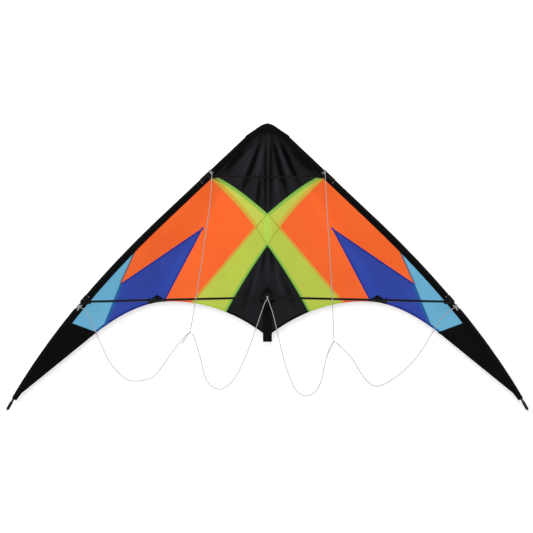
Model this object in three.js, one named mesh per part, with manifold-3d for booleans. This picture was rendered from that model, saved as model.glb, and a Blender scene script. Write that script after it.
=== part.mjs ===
// Two-line delta kite, standing nose up. Millimetres, +X to the right wing, +Z up, -Y towards the
// flyer (the bridle side). The origin is the point of the nose, on the centre line of the sail.
// The sail, its edge sleeves and the two edge rods form the wings, which fold back round the spine.

import * as THREE from "three";
import { mergeVertices } from "three/addons/utils/BufferGeometryUtils.js";
import Module from "manifold-3d";

const wasm = await Module();
wasm.setup();

// ---- overall sizes ---------------------------------------------------------------------------
const TIP_DROP = 657; // nose down to the end of each wing tip
const KEEL_LENGTH = 480.5; // nose down to the bottom of the sail at the spine
const TAIL_LENGTH = 501; // nose down to the bottom of the tail strap
const EDGE_SPREAD = 1.0616; // how far the straight leading edge runs out for each millimetre down
const NOSE_RISE = 10; // the two edge rods point at a spot this far above the nose
const BEND_START = 217; // the edge rod starts to bend this far down
const BEND_RADIUS = 868; // radius of that bend

// ---- rods and clearances ---------------------------------------------------------------------
const GAP = 0.3; // clearance between pieces that touch
const EDGE_ROD_R = 2.5;
const SPINE_R = 2.5;
const SPREADER_R = 2.5;
const UPPER_SPREADER_R = 2;
const STANDOFF_R = 1.5;
const CORD_R = 0.85;

// ---- places of the frame ---------------------------------------------------------------------
const CREASE_X = 11; // each wing folds back along a crease this far from the centre line
const SPINE_Y = 4.2; // the spine stands behind the sail
const SPINE_TOP = 9;
const SPREADER_Y = -11; // the lower spreaders run in front of the sail
const UPPER_SPREADER_Y = -6;
const CENTRE_DROP = 399; // height of the centre fitting
const LOWER_DROP = 409; // height of the lower spreaders' outer ends
const LOWER_RING_DROP = 404; // middle of the lower fitting's ring, on the edge rod
const LOWER_RING_LENGTH = 21;
const UPPER_SPREADER_DROP = 123;
const UPPER_RING_DROP = 122;
const UPPER_RING_LENGTH = 34;
const EDGE_RING_R = 5.4; // outer radius of both edge fittings' rings
const STANDOFF_X = 254.5;
const STANDOFF_DROP = 406;
const STANDOFF_DEPTH = 62; // how far the standoffs hold the sail back
const STOP_X = 272; // the stop ring keeps the standoff connector in its place
const EDGE_ROD_TOP = 26;
const EDGE_ROD_END = TIP_DROP - 10;
const SLEEVE_TOP = 33;
const SLEEVE_END = TIP_DROP - 25;
const NOCK_TOP = TIP_DROP - 18; // the wing tip's cap reaches this far up the rod
const HEM = 11; // the sleeve's sewn edge lies this far inside the rod's centre line
const UPPER_WINDOW = [109, 135.5]; // openings in the sleeve at the fittings, from and to
const LOWER_WINDOW = [392, 427];

// ---- sail ------------------------------------------------------------------------------------
const CLOTH = 1.2; // thickness of the sail solid
const PATCH = 0.9; // thickness of a sewn-on patch
const SEAM_GAP = 0.3; // between neighbouring panels
const GRID = 27; // spacing of the sail's facets
const CAP_BOTTOM = 27; // lower edge of the nose cap, at the crease

const smoothMin = (a, b, k) => {
  const h = THREE.MathUtils.clamp(0.5 + (b - a) / (2 * k), 0, 1);
  return THREE.MathUtils.lerp(b, a, h) - k * h * (1 - h);
};
const smoothMax = (a, b, k) => -smoothMin(-a, -b, k);

/** Distance of the edge rod's centre line from the kite's centre line, at a height. */
function edgeX(z) {
  const bend = Math.max(0, -z - BEND_START);
  return EDGE_SPREAD * (NOSE_RISE - z) - (bend * bend) / (2 * BEND_RADIUS);
}

/** How far the edge rod runs out for each millimetre down, at a height. */
function edgeSlope(z) {
  return EDGE_SPREAD - Math.max(0, -z - BEND_START) / BEND_RADIUS;
}

/** The sewn edge of the sleeve, where the sail cloth begins. */
function hemX(z) {
  return edgeX(z) - (HEM + GAP) * Math.hypot(1, edgeSlope(z));
}

/** Depth of the sail: nothing at the crease and at the hem, deepest where the standoff holds it. */
function sailY(x, z) {
  const tipX = edgeX(-TIP_DROP);
  const belowStandoff = (-z - STANDOFF_DROP) / (TIP_DROP - STANDOFF_DROP);
  const rayX = (STANDOFF_X * -z) / STANDOFF_DROP;
  const ridge = Math.max(CREASE_X + 8, smoothMax(rayX, STANDOFF_X + (tipX - STANDOFF_X) * belowStandoff, 20));
  const along = smoothMin(-z / STANDOFF_DROP, 1 - belowStandoff, 0.3) / smoothMin(1, 1, 0.3);
  const across = smoothMin((x - CREASE_X) / (ridge - CREASE_X), (hemX(z) - x) / (hemX(z) - ridge), 0.4);
  return Math.max(0, (STANDOFF_DEPTH * along * across) / smoothMin(1, 1, 0.4));
}

// ---- solids ----------------------------------------------------------------------------------
/** A closed geometry as a solid that can be joined and cut. */
function solid(geometry) {
  const bare = geometry.clone();
  bare.deleteAttribute("normal");
  bare.deleteAttribute("uv");
  const merged = mergeVertices(bare, 1e-5);
  return new wasm.Manifold(
    new wasm.Mesh({
      numProp: 3,
      vertProperties: new Float32Array(merged.attributes.position.array),
      triVerts: new Uint32Array(merged.index.array),
    }),
  );
}

function geometryOf(body) {
  const mesh = body.getMesh();
  const geometry = new THREE.BufferGeometry();
  geometry.setAttribute("position", new THREE.BufferAttribute(new Float32Array(mesh.vertProperties), 3));
  geometry.setIndex(new THREE.BufferAttribute(new Uint32Array(mesh.triVerts), 1));
  return geometry;
}

/** The same geometry on the other wing. */
function mirrored(geometry) {
  const twin = geometry.index ? geometry.clone() : mergeVertices(geometry, 1e-5);
  twin.scale(-1, 1, 1);
  const index = twin.index.array;
  for (let i = 0; i < index.length; i += 3) {
    [index[i], index[i + 1]] = [index[i + 1], index[i]];
  }
  return twin;
}

/** A solid with an outline in X and Z, from one depth to another. */
function prism(points, front, back) {
  const shape = new THREE.Shape(points.map(([x, z]) => new THREE.Vector2(x, z)));
  const geometry = new THREE.ExtrudeGeometry(shape, { depth: back - front, bevelEnabled: false });
  return solid(geometry.rotateX(Math.PI / 2).translate(0, back, 0));
}

function box(x0, x1, y0, y1, z0, z1) {
  const geometry = new THREE.BoxGeometry(x1 - x0, y1 - y0, z1 - z0);
  return solid(geometry.translate((x0 + x1) / 2, (y0 + y1) / 2, (z0 + z1) / 2));
}

/** A round bar between two points. */
function bar(from, to, radius, sides = 12) {
  const axis = new THREE.Vector3().subVectors(to, from);
  const geometry = new THREE.CylinderGeometry(radius, radius, axis.length(), sides);
  const turn = new THREE.Quaternion().setFromUnitVectors(new THREE.Vector3(0, 1, 0), axis.clone().normalize());
  geometry.applyQuaternion(turn);
  return geometry.translate(...from.clone().addScaledVector(axis, 0.5).toArray());
}

const at = (x, y, z) => new THREE.Vector3(x, y, z);

/** The edge rod's centre line between two drops. */
class EdgeCurve extends THREE.Curve {
  constructor(top, bottom) {
    super();
    this.top = top;
    this.bottom = bottom;
  }

  getPoint(t, target = new THREE.Vector3()) {
    const z = -THREE.MathUtils.lerp(this.top, this.bottom, t);
    return target.set(edgeX(z), 0, z);
  }
}

/** Places a geometry on the edge rod: local X points outboard, local Z down the rod. */
function onEdge(geometry, drop) {
  const down = at(edgeSlope(-drop), 0, -1).normalize();
  const out = at(-down.z, 0, down.x);
  const frame = new THREE.Matrix4().makeBasis(out, at(0, -1, 0), down);
  frame.setPosition(edgeX(-drop), 0, -drop);
  return geometry.applyMatrix4(frame);
}

function edgeRing(radius, length, drop) {
  const geometry = new THREE.CylinderGeometry(radius, radius, length, 16).rotateX(Math.PI / 2);
  return solid(onEdge(geometry, drop));
}

function edgeBox(out0, out1, front, back, length, drop) {
  const geometry = new THREE.BoxGeometry(out1 - out0, back - front, length);
  geometry.translate((out0 + out1) / 2, -(front + back) / 2, 0);
  return solid(onEdge(geometry, drop));
}

/** The bore that a fitting needs to slide on the edge rod. */
const edgeBore = (drop) => edgeRing(EDGE_ROD_R + GAP, 60, drop);

// ---- model -----------------------------------------------------------------------------------
const BLACK = { color: "#1d1d20", roughness: 0.8, metalness: 0 };
const finishes = {
  black_cloth: BLACK,
  orange_cloth: { color: "#f4692f", roughness: 0.7, metalness: 0 },
  lime_cloth: { color: "#b4c84f", roughness: 0.7, metalness: 0 },
  blue_cloth: { color: "#2b3ca5", roughness: 0.7, metalness: 0 },
  sky_cloth: { color: "#64aacd", roughness: 0.7, metalness: 0 },
  webbing: { color: "#17171a", roughness: 0.9, metalness: 0 },
  rod: { color: "#202227", roughness: 0.35, metalness: 0 },
  moulded: { color: "#151517", roughness: 0.5, metalness: 0 },
  line: { color: "#d9d9d6", roughness: 0.8, metalness: 0 },
};
const kite = new THREE.Group();

function add(name, geometry, finish) {
  const mesh = new THREE.Mesh(geometry, new THREE.MeshStandardMaterial(finishes[finish]));
  mesh.name = name;
  kite.add(mesh);
}

/** Adds a piece to the right wing and its mirror image to the left wing. */
function addPair(name, geometry, finish) {
  add(`${name}_right`, geometry, finish);
  add(`${name}_left`, mirrored(geometry), finish);
}

// ---- sail panels -----------------------------------------------------------------------------
const bezier = (a, control, b, steps) => {
  const curve = new THREE.QuadraticBezierCurve(
    new THREE.Vector2(...a),
    new THREE.Vector2(...control),
    new THREE.Vector2(...b),
  );
  return curve.getPoints(steps).map((p) => [p.x, p.y]);
};

/** A seam from one point to another that bows out to one side by a given height. */
function seam(a, b, bow = 0) {
  if (bow === 0) {
    return [a, b];
  }
  const length = Math.hypot(b[0] - a[0], b[1] - a[1]);
  const side = [(b[1] - a[1]) / length, (a[0] - b[0]) / length];
  const control = [(a[0] + b[0]) / 2 + side[0] * 2 * bow, (a[1] + b[1]) / 2 + side[1] * 2 * bow];
  return bezier(a, control, b, 6);
}

const onHem = (drop) => [hemX(-drop), -drop];
const beyondHem = (drop) => [edgeX(-drop) + 40, -drop];

const capInner = () => {
  const across = Math.hypot(1, edgeSlope(-SLEEVE_TOP));
  const reach = (HEM + GAP) / across;
  return [edgeX(-SLEEVE_TOP) - reach, -SLEEVE_TOP - reach * edgeSlope(-SLEEVE_TOP)];
};

// Corners of the panels on the right wing.
const noseSeamEnd = onHem(121);
const armSeamEnd = onHem(125);
const crossTop = [0, -207];
const crossSide = [27, -239];
const crossMiddle = [0, -239];
const crossBottom = [0, -280];
const blueTip = [148, -239];
const blueShoulder = [338.4, -369];
const skyTop = onHem(287);
const skyBottom = onHem(457);
const keelCorner = [95, -433.5];
const limeCorner = [174, -412.8];
const trailingApex = [245, -410];
const blueHeel = [238, -409];
const skyHeel = [379, -470];
const trailingKnee = [393, -480];
const tipCorner = onHem(TIP_DROP - 44);

/** The trailing edge from the crease out to the wing tip. */
function trailingEdge() {
  const inner = bezier([CREASE_X, -KEEL_LENGTH], [120, -401], trailingApex, 12);
  const outer = bezier(trailingApex, [314, -418], trailingKnee, 8);
  return [...inner, ...outer.slice(1), tipCorner];
}

/** Outline of one wing of the sail, from the nose cap round the hem and the trailing edge. */
function wingOutline() {
  const hem = [];
  const start = capInner();
  const steps = 18;
  for (let i = 0; i < steps; i += 1) {
    const drop = THREE.MathUtils.lerp(-start[1], -tipCorner[1], i / steps);
    hem.push(onHem(drop));
  }
  const edge = CREASE_X + SEAM_GAP / 2;
  const trailing = trailingEdge().reverse();
  trailing[trailing.length - 1] = [edge, -KEEL_LENGTH];
  return [[edge, -CAP_BOTTOM - GAP], [start[0] - 1, start[1] - GAP - 1], ...hem, ...trailing];
}

/** A slab that follows the sail, between two offsets from its middle surface. */
function sailSlab(front, back) {
  const columns = Math.ceil((edgeX(-TIP_DROP) - CREASE_X) / GRID);
  const rows = Math.ceil(TIP_DROP / GRID);
  const positions = [];
  const index = [];
  const corner = (i, j, layer) => (layer * (rows + 1) + j) * (columns + 1) + i;
  for (const offset of [front, back]) {
    for (let j = 0; j <= rows; j += 1) {
      for (let i = 0; i <= columns; i += 1) {
        const x = CREASE_X + i * GRID;
        const z = -j * GRID;
        positions.push(x, sailY(x, z) + offset, z);
      }
    }
  }
  const face = (a, b, c, d) => index.push(a, b, c, a, c, d);
  for (let j = 0; j < rows; j += 1) {
    for (let i = 0; i < columns; i += 1) {
      face(corner(i, j, 0), corner(i, j + 1, 0), corner(i + 1, j + 1, 0), corner(i + 1, j, 0));
      face(corner(i, j, 1), corner(i + 1, j, 1), corner(i + 1, j + 1, 1), corner(i, j + 1, 1));
    }
  }
  for (let i = 0; i < columns; i += 1) {
    face(corner(i, 0, 0), corner(i + 1, 0, 0), corner(i + 1, 0, 1), corner(i, 0, 1));
    face(corner(i, rows, 1), corner(i + 1, rows, 1), corner(i + 1, rows, 0), corner(i, rows, 0));
  }
  for (let j = 0; j < rows; j += 1) {
    face(corner(0, j, 0), corner(0, j, 1), corner(0, j + 1, 1), corner(0, j + 1, 0));
    face(corner(columns, j, 1), corner(columns, j, 0), corner(columns, j + 1, 0), corner(columns, j + 1, 1));
  }
  const geometry = new THREE.BufferGeometry();
  geometry.setAttribute("position", new THREE.Float32BufferAttribute(positions, 3));
  geometry.setIndex(index);
  return solid(geometry);
}

/** Moves every side of an outline inwards, which leaves the seam gap between panels. */
function shrunk(points, distance) {
  const area = points.reduce((sum, [x, z], i) => {
    const next = points[(i + 1) % points.length];
    return sum + x * next[1] - next[0] * z;
  }, 0);
  const sign = area > 0 ? 1 : -1;
  const normal = (a, b) => {
    const length = Math.hypot(b[0] - a[0], b[1] - a[1]);
    return [(-sign * (b[1] - a[1])) / length, (sign * (b[0] - a[0])) / length];
  };
  return points.map((point, i) => {
    const before = normal(points.at(i - 1), point);
    const after = normal(point, points[(i + 1) % points.length]);
    const share = distance / (1 + before[0] * after[0] + before[1] * after[1]);
    return [point[0] + (before[0] + after[0]) * share, point[1] + (before[1] + after[1]) * share];
  });
}

const noseSeam = bezier(crossTop, [95, -124], noseSeamEnd, 8);
const armSeam = seam(crossSide, armSeamEnd, -4.5);
const lowerArmSeam = seam(crossSide, limeCorner);
const keelSeam = seam(crossBottom, keelCorner, -3);

const panelOutlines = {
  nose_panel: [[-30, 60], [beyondHem(121)[0], 60], beyondHem(121), ...noseSeam.toReversed(), [-30, -228]],
  upper_arm: [...noseSeam, beyondHem(121), beyondHem(125), ...armSeam.toReversed(), crossMiddle],
  lower_arm: [...keelSeam, [120, -476], [196, -444], ...lowerArmSeam.toReversed(), crossMiddle],
  keel_panel: [[-30, -231], ...keelSeam, [120, -476], [120, -620], [-30, -620]],
  orange_panel: [
    ...armSeam, beyondHem(125), beyondHem(287), skyTop, blueShoulder,
    blueTip, blueHeel, [243, -440], [196, -444], ...lowerArmSeam.toReversed().slice(0, -1),
  ],
  blue_panel: [blueTip, blueShoulder, skyHeel, [390, -500], [243, -440], blueHeel],
  sky_panel: [skyTop, beyondHem(287), beyondHem(457), skyBottom, trailingKnee, [390, -500], skyHeel, blueShoulder],
  tip_panel: [skyBottom, beyondHem(457), beyondHem(640), [390, -640], [390, -500], trailingKnee],
};
const panelFinish = {
  nose_panel: "black_cloth",
  upper_arm: "lime_cloth",
  lower_arm: "lime_cloth",
  keel_panel: "black_cloth",
  orange_panel: "orange_cloth",
  blue_panel: "blue_cloth",
  sky_panel: "sky_cloth",
  tip_panel: "black_cloth",
};

const wingBlank = sailSlab(-CLOTH / 2, CLOTH / 2).intersect(prism(wingOutline(), -20, 100));
for (const [name, outline] of Object.entries(panelOutlines)) {
  const panel = wingBlank.intersect(prism(shrunk(outline, SEAM_GAP / 2), -20, 100));
  addPair(name, geometryOf(panel), panelFinish[name]);
}

// ---- centre strip of the sail, between the two creases ----------------------------------------
const T_STEM_HALF = 5;
const T_HALF_HEIGHT = 6;
const stripHalf = CREASE_X - SEAM_GAP / 2;
const mirrorPoints = (points) => points.map(([x, z]) => [-x, z]);

/** Height of a seam that starts on the centre line, where it crosses the crease. */
function heightAtCrease(points) {
  const after = points.findIndex(([x]) => x > CREASE_X);
  const [a, b] = [points[after - 1], points[after]];
  return a[1] + ((b[1] - a[1]) * (CREASE_X - a[0])) / (b[0] - a[0]);
}

function addCentreStrip() {
  const noseZ = heightAtCrease(noseSeam);
  const keelZ = heightAtCrease(keelSeam);
  const nose = [[-stripHalf, -CAP_BOTTOM - GAP], [-stripHalf, noseZ], crossTop, [stripHalf, noseZ], [stripHalf, -CAP_BOTTOM - GAP]];
  const cross = [[-stripHalf, noseZ], [-stripHalf, keelZ], crossBottom, [stripHalf, keelZ], [stripHalf, noseZ], crossTop];
  const keel = [[-stripHalf, keelZ], [-stripHalf, -KEEL_LENGTH], [stripHalf, -KEEL_LENGTH], [stripHalf, keelZ], crossBottom];
  const hole = box(
    -T_STEM_HALF - GAP, T_STEM_HALF + GAP, -20, 20,
    -CENTRE_DROP - T_HALF_HEIGHT - GAP, -CENTRE_DROP + T_HALF_HEIGHT + GAP,
  );
  const strip = (outline) => prism(shrunk(outline, SEAM_GAP / 2), -CLOTH / 2, CLOTH / 2);
  add("nose_panel_centre", geometryOf(strip(nose)), "black_cloth");
  add("cross_centre", geometryOf(strip(cross)), "lime_cloth");
  add("keel_panel_centre", geometryOf(strip(keel).subtract(hole)), "black_cloth");

  const front = -CLOTH / 2 - GAP;
  const middle = -CENTRE_DROP;
  const half = [[stripHalf - GAP, middle - 11], [stripHalf - GAP, middle + 12], [0, middle + 26]];
  const patch = [[0, middle - 19], ...half, ...mirrorPoints(half.slice(0, 2)).toReversed()];
  add("centre_patch", geometryOf(prism(patch, front - PATCH, front).subtract(hole)), "webbing");
}
addCentreStrip();

/** The black reinforcement on the trailing edge, under the foot of the standoff. */
function addStandoffPatch() {
  const outline = [[STANDOFF_X - 18, -425], [STANDOFF_X, -395], [STANDOFF_X + 18, -425]];
  const back = -CLOTH / 2 - GAP;
  const trimmed = prism(outline, -20, 100).intersect(prism(wingOutline(), -20, 100));
  addPair("standoff_patch", geometryOf(sailSlab(back - PATCH, back).intersect(trimmed)), "webbing");
}
addStandoffPatch();

// ---- edge sleeve, nose cap and tail strap -----------------------------------------------------
const SLEEVE_R = 4.5; // the sleeve's round front fold

function sleeveSection() {
  const hemHalf = 0.8;
  const neck = Math.asin(hemHalf / SLEEVE_R);
  const section = new THREE.Shape();
  section.moveTo(hemHalf, HEM);
  section.absarc(0, 0, SLEEVE_R, Math.PI / 2 - neck, Math.PI / 2 + neck, true);
  section.lineTo(-hemHalf, HEM);
  const bore = new THREE.Path();
  bore.absarc(0, 0, EDGE_ROD_R + 2 * GAP, 0, Math.PI * 2);
  section.holes.push(bore);
  return section;
}

function windowCut([top, bottom]) {
  const middle = (top + bottom) / 2;
  const length = (bottom - top) * Math.hypot(1, edgeSlope(-middle));
  return edgeBox(-EDGE_RING_R - GAP, 12, -12, 12, length, middle);
}

function addSleeve() {
  const geometry = new THREE.ExtrudeGeometry(sleeveSection(), {
    steps: 24,
    curveSegments: 5,
    extrudePath: new EdgeCurve(SLEEVE_TOP + GAP, SLEEVE_END),
  });
  const sleeve = solid(geometry).subtract(windowCut(UPPER_WINDOW)).subtract(windowCut(LOWER_WINDOW));
  addPair("edge_sleeve", geometryOf(sleeve), "webbing");
}
addSleeve();

const CAP_FRONT = -4.4;
const CAP_SIDE_BACK = 4.4;
const CAP_CENTRE_BACK = 8.4;

function addNoseCap() {
  const down = at(edgeSlope(-SLEEVE_TOP), 0, -1).normalize();
  const outer = [edgeX(-SLEEVE_TOP) - down.z * (SLEEVE_R + 1.1), -SLEEVE_TOP + down.x * (SLEEVE_R + 1.1)];
  const shoulder = [15, -5];
  const crown = [5, -0.8];
  const rise = (shoulder[1] - crown[1]) / (shoulder[0] - crown[0]);
  const edgeZ = crown[1] + rise * (CREASE_X - crown[0]);
  const near = CREASE_X + GAP / 2;
  const far = CREASE_X - GAP / 2;
  const side = prism([[near, edgeZ], [near, -CAP_BOTTOM], capInner(), outer, shoulder], CAP_FRONT, CAP_SIDE_BACK);
  const rod = new THREE.ExtrudeGeometry(new THREE.Shape().absarc(0, 0, EDGE_ROD_R + GAP, 0, Math.PI * 2), {
    steps: 1,
    curveSegments: 7,
    extrudePath: new EdgeCurve(EDGE_ROD_TOP - GAP, SLEEVE_TOP + 20),
  });
  addPair("nose_cap_side", geometryOf(side.subtract(solid(rod))), "webbing");

  const half = [[far, -CAP_BOTTOM], [far, edgeZ], crown];
  const outline = [...half, [0, 0], ...mirrorPoints(half).toReversed()];
  const pocket = bar(at(0, SPINE_Y, -CAP_BOTTOM - 5), at(0, SPINE_Y, -SPINE_TOP + GAP), SPINE_R + GAP);
  add("nose_cap_centre", geometryOf(prism(outline, CAP_FRONT, CAP_CENTRE_BACK).subtract(solid(pocket))), "webbing");
}
addNoseCap();

const END_CAP_R = 3.6;
const STRAP_HALF = 10.3;
const STRAP = 1.6; // thickness of the webbing

function addSpine() {
  const spineEnd = TAIL_LENGTH - 7;
  add("spine_rod", bar(at(0, SPINE_Y, -SPINE_TOP), at(0, SPINE_Y, -spineEnd), SPINE_R), "rod");
  const capTop = -spineEnd + 10;
  const capBottom = -TAIL_LENGTH + STRAP + GAP;
  const cap = solid(bar(at(0, SPINE_Y, capTop), at(0, SPINE_Y, capBottom), END_CAP_R));
  const bore = solid(bar(at(0, SPINE_Y, capTop + 5), at(0, SPINE_Y, -spineEnd - GAP), SPINE_R + GAP));
  add("spine_end_cap", geometryOf(cap.subtract(bore)), "moulded");

  const front = -CLOTH / 2 - GAP;
  const back = SPINE_Y + END_CAP_R + GAP;
  const loop = box(-STRAP_HALF, STRAP_HALF, front - STRAP, back + STRAP, -TAIL_LENGTH, -437);
  const inside = box(-STRAP_HALF - 5, STRAP_HALF + 5, front, back, -TAIL_LENGTH + STRAP, -430);
  const behind = box(-STRAP_HALF - 5, STRAP_HALF + 5, back - 1, back + 10, -455, -430);
  add("tail_strap", geometryOf(loop.subtract(inside).subtract(behind)), "webbing");
}
addSpine();

// ---- edge rods and wing tips ------------------------------------------------------------------
const NOCK_R = 3.6;

function addEdgeRod() {
  const section = new THREE.Shape().absarc(0, 0, EDGE_ROD_R, 0, Math.PI * 2);
  const geometry = new THREE.ExtrudeGeometry(section, {
    steps: 24,
    curveSegments: 6,
    extrudePath: new EdgeCurve(EDGE_ROD_TOP, EDGE_ROD_END),
  });
  addPair("edge_rod", geometry, "rod");
}
addEdgeRod();

/** Length along the edge rod between two drops close to each other. */
const edgeLength = (top, bottom) => (bottom - top) * Math.hypot(1, edgeSlope(-(top + bottom) / 2));

function addWingTip() {
  const length = edgeLength(NOCK_TOP, TIP_DROP);
  const bore = edgeLength(NOCK_TOP, EDGE_ROD_END) + GAP;
  const wall = EDGE_ROD_R + GAP;
  const profile = [[wall, 0], [NOCK_R, 0], [NOCK_R, length - NOCK_R]];
  for (let i = 1; i <= 4; i += 1) {
    const angle = (i * Math.PI) / 8;
    profile.push([NOCK_R * Math.cos(angle), length - NOCK_R + NOCK_R * Math.sin(angle)]);
  }
  profile[profile.length - 1][0] = 0;
  profile.push([0, bore], [wall, bore], [wall, 0]);
  const points = profile.map(([r, z]) => new THREE.Vector2(r, z));
  const nock = new THREE.LatheGeometry(points, 14).rotateX(Math.PI / 2);
  addPair("tip_nock", geometryOf(solid(onEdge(nock, NOCK_TOP))), "moulded");

  const bungeeR = 0.9;
  const reach = NOCK_R + bungeeR + GAP + 0.1;
  const start = -edgeLength(SLEEVE_END, NOCK_TOP) + GAP;
  const path = new THREE.CurvePath();
  path.add(new THREE.LineCurve3(at(0, -reach, start), at(0, -reach, length - 3)));
  path.add(
    new THREE.QuadraticBezierCurve3(at(0, -reach, length - 3), at(0, -reach, length + 2), at(0, 0, length + 2)),
  );
  path.add(new THREE.QuadraticBezierCurve3(at(0, 0, length + 2), at(0, reach, length + 2), at(0, reach, length - 3)));
  path.add(new THREE.LineCurve3(at(0, reach, length - 3), at(0, reach, start)));
  const ring = new THREE.Shape().absarc(0, 0, bungeeR, 0, Math.PI * 2);
  const bungee = new THREE.ExtrudeGeometry(ring, { steps: 20, curveSegments: 4, extrudePath: path });
  addPair("tip_bungee", onEdge(bungee, NOCK_TOP), "webbing");
}
addWingTip();

// ---- edge fittings ----------------------------------------------------------------------------
const LOWER_END_X = edgeX(-LOWER_DROP) - 9; // outer end of each lower spreader
const UPPER_END_X = edgeX(-UPPER_RING_DROP) - 15;
const WALL = 1.8;

/** A moulded ring on the edge rod, with a socket that is open on top for the spreader's end. */
function addLowerFitting() {
  const half = SPREADER_R + GAP;
  const front = SPREADER_Y - half - WALL;
  const back = SPREADER_Y + half + WALL;
  const z = -LOWER_DROP;
  const x = LOWER_END_X;
  const outline = [
    [x - 11, z - half - WALL], [x + 3, z - half - WALL - 2], [x + 13, z - 8],
    [x + 13, z + 3], [x + 4, z + 8], [x - 11, z + half + WALL],
  ];
  const head = prism(outline, front, back);
  const neck = edgeBox(-4.5, 4.5, back - 1, -EDGE_ROD_R, 16, LOWER_RING_DROP);
  const ring = edgeRing(EDGE_RING_R, LOWER_RING_LENGTH, LOWER_RING_DROP);
  const socket = box(x - 20, x + 2.2, SPREADER_Y - half, SPREADER_Y + half, z - half, z + 20);
  const fitting = head.add(neck).add(ring).subtract(edgeBore(LOWER_RING_DROP)).subtract(socket);
  addPair("lower_fitting", geometryOf(fitting), "moulded");
}
addLowerFitting();

/** A moulded ring with a hook that holds the upper spreader's end from behind and above. */
function addUpperFitting() {
  const half = UPPER_SPREADER_R + GAP;
  const z = -UPPER_SPREADER_DROP;
  const x = UPPER_END_X;
  const back = UPPER_SPREADER_Y + half;
  const outline = [[x - 9, z - 3], [x + 4, z - 4], [x + 13, z - 2], [x + 13, z + 6], [x + 3, z + 7], [x - 9, z + half + WALL]];
  const head = prism(outline, UPPER_SPREADER_Y - half, -CLOTH / 2 - 1.4);
  const ring = edgeRing(EDGE_RING_R, UPPER_RING_LENGTH, UPPER_RING_DROP);
  const hook = box(x - 20, x + 3, -20, back, z - 20, z + half);
  const hemRelief = edgeBox(-HEM - 3, -EDGE_RING_R - GAP, -1.2, 6, 60, UPPER_RING_DROP);
  const fitting = head.subtract(hook).add(ring).subtract(edgeBore(UPPER_RING_DROP)).subtract(hemRelief);
  addPair("upper_fitting", geometryOf(fitting), "moulded");
}
addUpperFitting();

// ---- spreaders and centre fitting -------------------------------------------------------------
const SPREADER_INNER_X = CREASE_X + 0.5;
const spreaderZ = (x) => -THREE.MathUtils.lerp(CENTRE_DROP, LOWER_DROP, x / LOWER_END_X);

function addSpreaders() {
  const inner = at(SPREADER_INNER_X, SPREADER_Y, spreaderZ(SPREADER_INNER_X));
  const outer = at(LOWER_END_X, SPREADER_Y, -LOWER_DROP);
  addPair("lower_spreader", bar(inner, outer, SPREADER_R, 14), "rod");
  const left = at(-UPPER_END_X, UPPER_SPREADER_Y, -UPPER_SPREADER_DROP);
  const right = at(UPPER_END_X, UPPER_SPREADER_Y, -UPPER_SPREADER_DROP);
  add("upper_spreader", bar(left, right, UPPER_SPREADER_R), "rod");
}
addSpreaders();

/** The centre fitting: two arms that cradle the spreaders, and a ring round the spine. */
function addCentreFitting() {
  const half = SPREADER_R + GAP;
  const front = SPREADER_Y - half - 2.2;
  const back = SPREADER_Y + half;
  const z = -CENTRE_DROP;
  const arm = 21;
  const height = 5.4;
  const quarter = [[6, z + 9], [8, z + height], [arm, z + height - 0.8], [arm, z - height + 0.8], [8, z - height], [6, z - 9]];
  const face = prism([...quarter, ...mirrorPoints(quarter).toReversed()], front, back);
  const channel = (x0, x1) => box(x0, x1, SPREADER_Y - half, back + 5, z - half - 0.4, z + 20);
  const stem = box(-T_STEM_HALF, T_STEM_HALF, back - 2, SPINE_Y, z - T_HALF_HEIGHT, z + T_HALF_HEIGHT);
  const ring = solid(bar(at(0, SPINE_Y, z - 8), at(0, SPINE_Y, z + 8), SPINE_R + GAP + 2, 16));
  const ringFront = box(-20, 20, -20, CLOTH / 2 + GAP, z - 20, z + 20);
  const bore = solid(bar(at(0, SPINE_Y, z - 20), at(0, SPINE_Y, z + 20), SPINE_R + GAP, 12));
  const fitting = face
    .subtract(channel(CREASE_X - GAP, arm + 5))
    .subtract(channel(-arm - 5, -CREASE_X + GAP))
    .add(stem)
    .add(ring.subtract(ringFront))
    .subtract(bore);
  add("centre_fitting", geometryOf(fitting), "moulded");
}
addCentreFitting();

// ---- standoffs --------------------------------------------------------------------------------
const standoffZ = spreaderZ(STANDOFF_X);
const patchFront = sailY(STANDOFF_X, standoffZ) - CLOTH / 2 - GAP - PATCH;
const FOOT = 2; // thickness of the foot's plate on the patch
const footPivotY = patchFront - 1.6 - FOOT - 2;
const NOSE_BACK = 5; // the connector's socket reaches this far behind the front of the sail

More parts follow.
